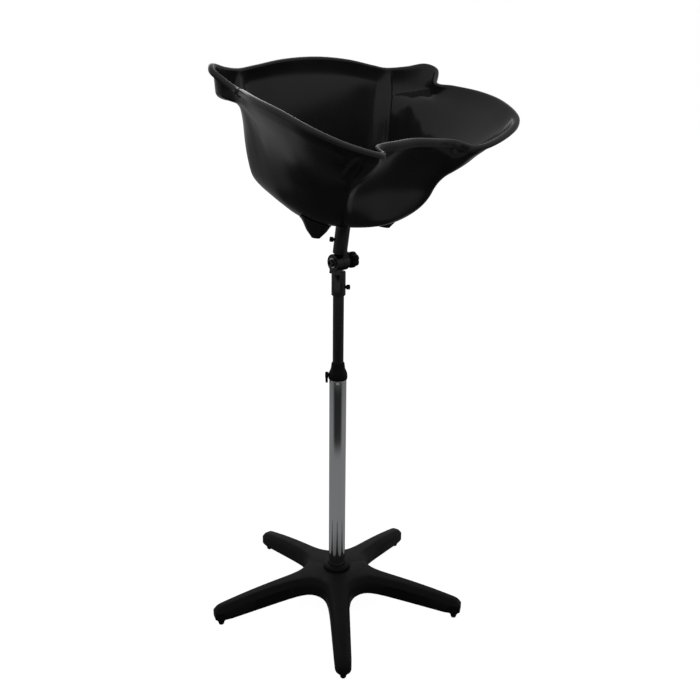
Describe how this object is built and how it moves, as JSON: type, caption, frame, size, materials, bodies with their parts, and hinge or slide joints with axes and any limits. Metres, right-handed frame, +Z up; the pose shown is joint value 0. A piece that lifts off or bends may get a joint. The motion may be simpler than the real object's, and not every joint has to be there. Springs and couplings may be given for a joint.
{
  "type": "shampoo backwash unit",
  "caption": "Portable salon shampoo bowl with a neck rest on a telescopic mast, a tilting knuckle and a star base.",
  "frame": {"origin": "on the floor, in the middle of the overall footprint", "axes": "+Z up; -Y is the neck-rest side of the bowl; +X is the side of the tilt knob"},
  "size_m": [0.5272, 0.5263, 1.1375],
  "materials": {
    "gloss_black": "polished black moulded shell",
    "black_nylon": "matte black moulding",
    "chrome_steel": "bright chrome",
    "black_steel": "semi-gloss black paint",
    "zinc_steel": "bright zinc",
    "rubber": "matte black rubber"
  },
  "bodies": {
    "base": {"star_base": "black_nylon", "glide_rear": "black_nylon", "glide_rear_left": "black_nylon", "glide_front_left": "black_nylon", "glide_front_right": "black_nylon", "glide_rear_right": "black_nylon", "base_washer": "zinc_steel", "base_bolt": "zinc_steel", "tube_end_plug": "zinc_steel", "outer_tube": "chrome_steel", "hub_ring": "black_nylon", "height_collar": "black_nylon", "collar_rivet": "zinc_steel"},
    "height_knob": {"height_knob": "black_nylon"},
    "mast": {"inner_tube": "black_steel", "inner_tube_shoe": "black_nylon"},
    "head": {"lower_knuckle": "black_steel", "tilt_bolt": "black_steel", "tilt_washer_left": "zinc_steel", "tilt_washer_right": "zinc_steel"},
    "lower_thumb_screw": {"lower_thumb_screw": "black_nylon"},
    "tilt_knob": {"tilt_knob": "black_nylon"},
    "tilt": {"upper_knuckle": "black_steel"},
    "upper_thumb_screw": {"upper_thumb_screw": "black_nylon"},
    "bowl": {"bowl_shell": "gloss_black", "bowl_foot_left": "gloss_black", "bowl_foot_right": "gloss_black", "bowl_spigot": "black_steel", "spigot_screw_1": "zinc_steel", "spigot_screw_2": "zinc_steel", "spigot_screw_3": "zinc_steel", "spigot_screw_4": "zinc_steel", "drain_gasket": "rubber", "drain_body": "chrome_steel", "drain_strainer": "chrome_steel", "drain_washer": "rubber", "drain_nut": "black_nylon", "drain_hose_tail": "black_nylon"}
  },
  "joints": [
    {"name": "height_slide", "type": "slide", "parent": "base", "child": "mast", "axis": [0, 0, 1], "range_m": [-0.135, 0.225]},
    {"name": "height_knob_turn", "type": "hinge", "parent": "base", "child": "height_knob", "pos_m": [0, -0.0111, 0.5275], "axis": [-0.766, 0.6428, 0], "range_deg": [0, 540]},
    {"name": "head_swivel", "type": "hinge", "parent": "mast", "child": "head", "pos_m": [0, -0.0111, 0.761], "axis": [0, 0, 1], "continuous": true},
    {"name": "lower_thumb_screw_turn", "type": "hinge", "parent": "head", "child": "lower_thumb_screw", "pos_m": [0, -0.0111, 0.711], "axis": [0.766, -0.6428, 0], "range_deg": [0, 540]},
    {"name": "tilt_knob_turn", "type": "hinge", "parent": "head", "child": "tilt_knob", "pos_m": [0.03, -0.0111, 0.761], "axis": [1, 0, 0], "range_deg": [0, 540]},
    {"name": "bowl_tilt", "type": "hinge", "parent": "head", "child": "tilt", "pos_m": [0, -0.0111, 0.761], "axis": [1, 0, 0], "range_deg": [-40, 20]},
    {"name": "upper_thumb_screw_turn", "type": "hinge", "parent": "tilt", "child": "upper_thumb_screw", "pos_m": [0, -0.01874, 0.80433], "axis": [-0.766, 0.633, 0.1116], "range_deg": [0, 540]},
    {"name": "bowl_swivel", "type": "hinge", "parent": "tilt", "child": "bowl", "pos_m": [0, -0.0111, 0.761], "axis": [0, -0.1736, 0.9848], "continuous": true}
  ]
}
